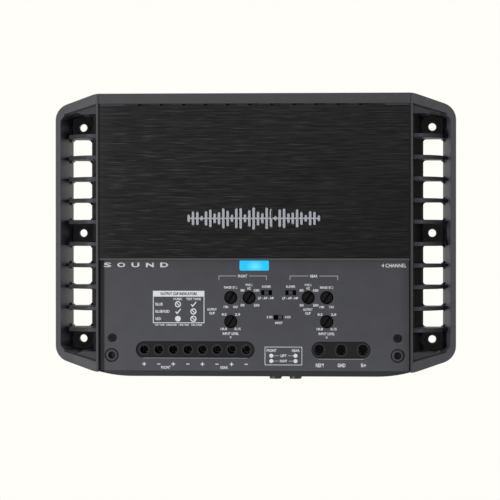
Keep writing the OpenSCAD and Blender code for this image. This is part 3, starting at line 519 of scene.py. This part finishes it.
class Print:
    """Marks of one ink on a face at height z: closed shapes that sit a little into it, in mm."""

    def __init__(self, z, thickness=0.05):
        self.bm = bmesh.new()
        self.z0 = z - 0.03
        self.z1 = z + thickness

    def shape(self, points):
        low = [self.bm.verts.new((x * MM, y * MM, self.z0 * MM)) for x, y in points]
        high = [self.bm.verts.new((x * MM, y * MM, self.z1 * MM)) for x, y in points]
        self.bm.faces.new(list(reversed(low)))
        self.bm.faces.new(high)
        for i in range(len(points)):
            j = (i + 1) % len(points)
            self.bm.faces.new((low[i], low[j], high[j], high[i]))

    def line(self, x0, y0, x1, y1, width):
        along = Vector((x1 - x0, y1 - y0)).normalized() * width / 2
        side = Vector((-along.y, along.x))
        a, b = Vector((x0, y0)), Vector((x1, y1))
        self.shape([a - side, b - side, b + side, a + side])

    def path(self, points, width):
        """Line through several points, with its corners mitred."""
        points = [Vector(p) for p in points]
        left, right = [], []
        for i, p in enumerate(points):
            before = (p - points[i - 1]).normalized() if i else None
            after = (points[i + 1] - p).normalized() if i < len(points) - 1 else None
            d = ((before or after) + (after or before)).normalized()
            reach = width / 2 / max(0.3, d.dot(after or before))
            side = Vector((-d.y, d.x)) * reach
            left.append(p + side)
            right.append(p - side)
        self.shape(right + list(reversed(left)))

    def disc(self, x, y, r):
        self.shape(arc(x, y, r, 0, 345))

    def ring(self, x, y, r, width):
        inner, outer = r - width / 2, r + width / 2
        section = ((inner, self.z0), (outer, self.z0), (outer, self.z1), (inner, self.z1))
        rows = []
        for angle in range(0, 360, 15):
            c, s = math.cos(math.radians(angle)), math.sin(math.radians(angle))
            rows.append([self.bm.verts.new(((x + q * c) * MM, (y + q * s) * MM, z * MM))
                         for q, z in section])
        for i, a in enumerate(rows):
            b = rows[(i + 1) % len(rows)]
            for k in range(4):
                m = (k + 1) % 4
                self.bm.faces.new((a[k], b[k], b[m], a[m]))

    def word(self, text, x, y, width, height, bold=0.04, align="centre"):
        """Text whose ink box is width by height, centred on (x, y) or starting at x."""
        curve = bpy.data.curves.new("word", "FONT")
        curve.body = text
        curve.resolution_u = 3
        curve.offset = bold
        o = bpy.data.objects.new("word", curve)
        scene.collection.objects.link(o)
        bpy.context.view_layer.update()
        settled = o.evaluated_get(bpy.context.evaluated_depsgraph_get())
        mesh = bpy.data.meshes.new_from_object(settled)
        bpy.data.objects.remove(o)
        bpy.data.curves.remove(curve)
        xs = [v.co.x for v in mesh.vertices]
        ys = [v.co.y for v in mesh.vertices]
        sx = width / (max(xs) - min(xs))
        sy = height / (max(ys) - min(ys))
        x0 = x if align == "left" else x - width / 2
        y0 = y - height / 2
        for v in mesh.vertices:
            v.co = ((x0 + (v.co.x - min(xs)) * sx) * MM, (y0 + (v.co.y - min(ys)) * sy) * MM,
                    self.z1 * MM)
        part = bmesh.new()
        part.from_mesh(mesh)
        bpy.data.meshes.remove(mesh)
        bmesh.ops.remove_doubles(part, verts=part.verts, dist=0.002 * MM)
        made = bmesh.ops.extrude_face_region(part, geom=list(part.faces))
        down = [g for g in made["geom"] if isinstance(g, bmesh.types.BMVert)]
        bmesh.ops.translate(part, verts=down, vec=(0, 0, (self.z0 - self.z1) * MM))
        bmesh.ops.recalc_face_normals(part, faces=part.faces)
        joined = bpy.data.meshes.new("word")
        part.to_mesh(joined)
        part.free()
        self.bm.from_mesh(joined)
        bpy.data.meshes.remove(joined)


def centre(name):
    """Middle of a node's box at rest, in mm."""
    low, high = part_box(name)
    return (low + high) / 2 / MM


panel_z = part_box("control_panel")[1].z / MM
plate_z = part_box("top_plate")[1].z / MM
white = Print(panel_z)
thin = Print(panel_z)
dark = Print(panel_z, 0.09)

# The six dials, and the clip lights beside them
for name in ("front", "rear"):
    bass, freq, level = (centre(f"{name}_{kind}_dial") for kind in ("bass", "frequency", "level"))
    white.word("BASS EQ", bass.x, bass.y + 6.9, 9.4, 2.0)
    white.word("MIN", bass.x - 3.4, bass.y - 6.5, 3.1, 1.8)
    white.word("MAX", bass.x + 3.4, bass.y - 6.5, 3.4, 1.8)
    white.word("FREQ", freq.x, freq.y + 8.7, 4.8, 1.8)
    white.word("HZ", freq.x, freq.y + 6.4, 2.4, 1.7)
    for text, dx, dy, w in (("80", -4.6, 5.0, 2.8), ("150", 5.2, 5.0, 3.8),
                            ("50", -4.6, -5.3, 2.8), ("250", 5.2, -5.3, 3.9)):
        white.word(text, freq.x + dx, freq.y + dy, w, 1.8)
    for text, dx, dy, w in (("0.5", -4.6, 5.0, 3.4), ("2.0", 4.8, 5.0, 3.6),
                            ("10.0", -4.8, -5.1, 4.4), ("0.15", 4.8, -5.1, 4.3)):
        white.word(text, level.x + dx, level.y + dy, w, 1.8)
    white.word("INPUT LEVEL", level.x, level.y - 8.4, 11.2, 1.9)
    white.word("V", level.x, level.y - 11.0, 1.5, 1.7)
    clip_x = level.x - 13.0
    white.word("OUTPUT", clip_x, level.y + 8.4, 6.6, 1.8)
    white.word("CLIP", clip_x, level.y + 5.8, 3.9, 1.8)

# Brackets over the two groups
bracket_y = -29.9
for word, x0, x1, w in (("FRONT", -24.5, 8.5, 6.5), ("REAR", 24.9, 57.9, 5.3)):
    mid = (x0 + x1) / 2
    gap = w / 2 + 1.2
    foot_y = bracket_y - 2.8
    white.word(word, mid, bracket_y - 0.1, w, 2.0)
    thin.path([(x0, foot_y), (x0, bracket_y), (mid - gap, bracket_y)], 0.42)
    thin.path([(mid + gap, bracket_y), (x1, bracket_y), (x1, foot_y)], 0.42)

# Switches
crossover_y = centre("front_crossover_slider").y
for x in (8.4, 25.3):
    white.word("X-OVER", x, crossover_y + 4.2, 6.6, 1.8)
    white.word("LP - AP - HP", x - 0.2, crossover_y - 3.8, 11.0, 1.8)
input_x, input_y = 17.1, centre("input_mode_slider").y
white.word("2 CH", input_x - 6.4, input_y + 0.2, 3.9, 1.8)
white.word("4 CH", input_x + 6.1, input_y + 0.2, 4.1, 1.8)
white.word("INPUT", input_x, input_y - 3.9, 5.2, 1.8)


def slashed(x, y):
    white.ring(x, y, 1.8, 0.7)
    white.line(x - 1.05, y + 1.05, x + 1.05, y - 1.05, 0.6)


def tick(x, y):
    white.path([(x - 1.6, y - 0.1), (x - 0.5, y - 1.4), (x + 1.9, y + 1.6)], 0.75)


def dot(x, y):
    white.disc(x, y, 2.0)


# Table of the clip lights: a solid head, then a row for each colour with two signs
left, right, low, high, head_y = -70.3, -34.9, -62.5, -40.3, -44.3
music_x, tone_x = -53.1, -42.3
half_line = 0.25
white.shape([(left - half_line, head_y), (right + half_line, head_y),
             (right + half_line, high), (left - half_line, high)])
white.path([(left, head_y + 0.1), (left, low), (right, low), (right, head_y + 0.1)],
           2 * half_line)
dark.word("OUTPUT CLIP INDICATORS", (left + right) / 2, (head_y + high) / 2, 25.5, 2.0)
white.word("MUSIC", music_x - 0.1, head_y - 1.65, 6.4, 1.7)
white.word("TEST TONE", tone_x + 0.1, head_y - 1.65, 10.4, 1.7)
for text, w, y, music, tone in (("BLUE", 5.3, -49.6, slashed, tick),
                                ("BLUE/RED", 10.0, -54.6, tick, slashed),
                                ("RED", 4.1, -59.7, dot, slashed)):
    white.word(text, left + 1.4, y, w, 2.0, align="left")
    music(music_x, y)
    tone(tone_x, y)
for text, x, w in (("TEST TONE", -65.9, 6.8), ("SUBWOOFER", -57.5, 7.4),
                   ("1 KHZ TONE", -49.0, 7.0), ("FULL RANGE", -40.0, 7.4)):
    white.word(text, x, low - 1.45, w, 1.3)

# Map of the input jacks: a dot for each, with a line to its word
left, right, low, high = 7.5, 33.1, -91.6, -79.2
middle = 20.4
dot_r = 1.4
white.path([(left, high - 0.3), (left, low), (right, low), (right, high), (left - 0.2, high)], 0.36)
white.word("FRONT", 12.1, high - 2.4, 6.9, 2.0)
white.word("REAR", 28.9, high - 2.4, 5.4, 2.0)
for text, y, w in (("LEFT", -85.2, 4.2), ("RIGHT", -88.9, 5.1)):
    white.word(text, middle, y, w, 1.8)
    for x, side in ((11.9, 1), (28.7, -1)):
        white.disc(x, y, dot_r)
        thin.line(x + side * dot_r, y, middle - side * (w / 2 + 0.9), y, 0.4)

# Terminal marks: plus on the odd speaker screws, minus on the even ones, and the words
speaker = [centre(f"speaker_screw_{i}").x for i in range(1, 9)]
power = [centre(f"power_screw_{i}").x for i in range(1, 4)]
mark_y = -91.2
word_y = -93.5
stroke = 0.6
for i, x in enumerate(speaker):
    plus = i % 2 == 0
    r = 1.3 if plus else 1.1
    white.line(x - r, mark_y, x + r, mark_y, stroke)
    if plus:
        white.line(x, mark_y - r, x, mark_y - stroke / 2, stroke)
        white.line(x, mark_y + stroke / 2, x, mark_y + r, stroke)
white.word("FRONT", (speaker[1] + speaker[2]) / 2, word_y, 6.8, 2.0)
white.word("REAR", (speaker[5] + speaker[6]) / 2, word_y, 5.4, 2.0)
for text, x, w in zip(("REM", "GND", "B+"), power, (5.5, 5.5, 3.7)):
    white.word(text, x + 0.4, -91.8, w, 2.7)
for x0, x1, y in ((-77.5, -4.6, -87.0), (44.4, 75.8, -87.6)):
    thin.line(x0, y, x1, y, 0.24)

# Words at the two upper corners
for letter, x in zip("SOUND", (-102.3, -92.6, -82.7, -72.6, -62.6)):
    white.word(letter, x, -22.25, 5.6, 3.3, bold=0.035)
white.word("4 CHANNEL", 96.9, -22.6, 17.2, 2.7, bold=0.03)

finish_piece(white.bm, "panel_print", ink)
finish_piece(thin.bm, "panel_print_thin_lines", ink_dim)
finish_piece(dark.bm, "panel_print_dark", ink_dark)

# Painted shade under the badge: a black pill round each of its bars
bar_pitch, bar_r = 3, 0.85
shade_width = 0.75
bars = {}
for v in nodes["badge"].data.vertices:
    x, y, z = v.co / MM
    if z > plate_z + 1.0:
        i = round(x / bar_pitch)
        low, high = bars.get(i, (y, y))
        bars[i] = (min(low, y), max(high, y))
shade_pills = Print(plate_z, 0.12)
for i, (low, high) in sorted(bars.items()):
    x = i * bar_pitch
    r = bar_r + shade_width
    shade_pills.shape(arc(x, high - bar_r, r, 0, 180) + arc(x, low + bar_r, r, 180, 360))
finish_piece(shade_pills.bm, "badge_painted_shade", badge_shade)

# ---------- floor ----------

# A plain self-lit sheet, so that it stays pale and even with no shadow on it
floor_half = 12
bm = bmesh.new()
bmesh.ops.create_grid(bm, x_segments=1, y_segments=1, size=floor_half)
floor_mesh = bpy.data.meshes.new("floor")
bm.to_mesh(floor_mesh)
bm.free()
floor = bpy.data.objects.new("floor", floor_mesh)
floor.location.z = -0.3 * MM
scene.collection.objects.link(floor)
paper = Shader("lit_paper", roughness=0.9, Specular_IOR_Level=0.0)
paper.base.inputs["Base Color"].default_value = (0.0, 0.0, 0.0, 1)
paper.base.inputs["Emission Color"].default_value = (1.0, 0.991, 0.947, 1)
paper.base.inputs["Emission Strength"].default_value = 1.0
floor_mesh.materials.append(paper.material)
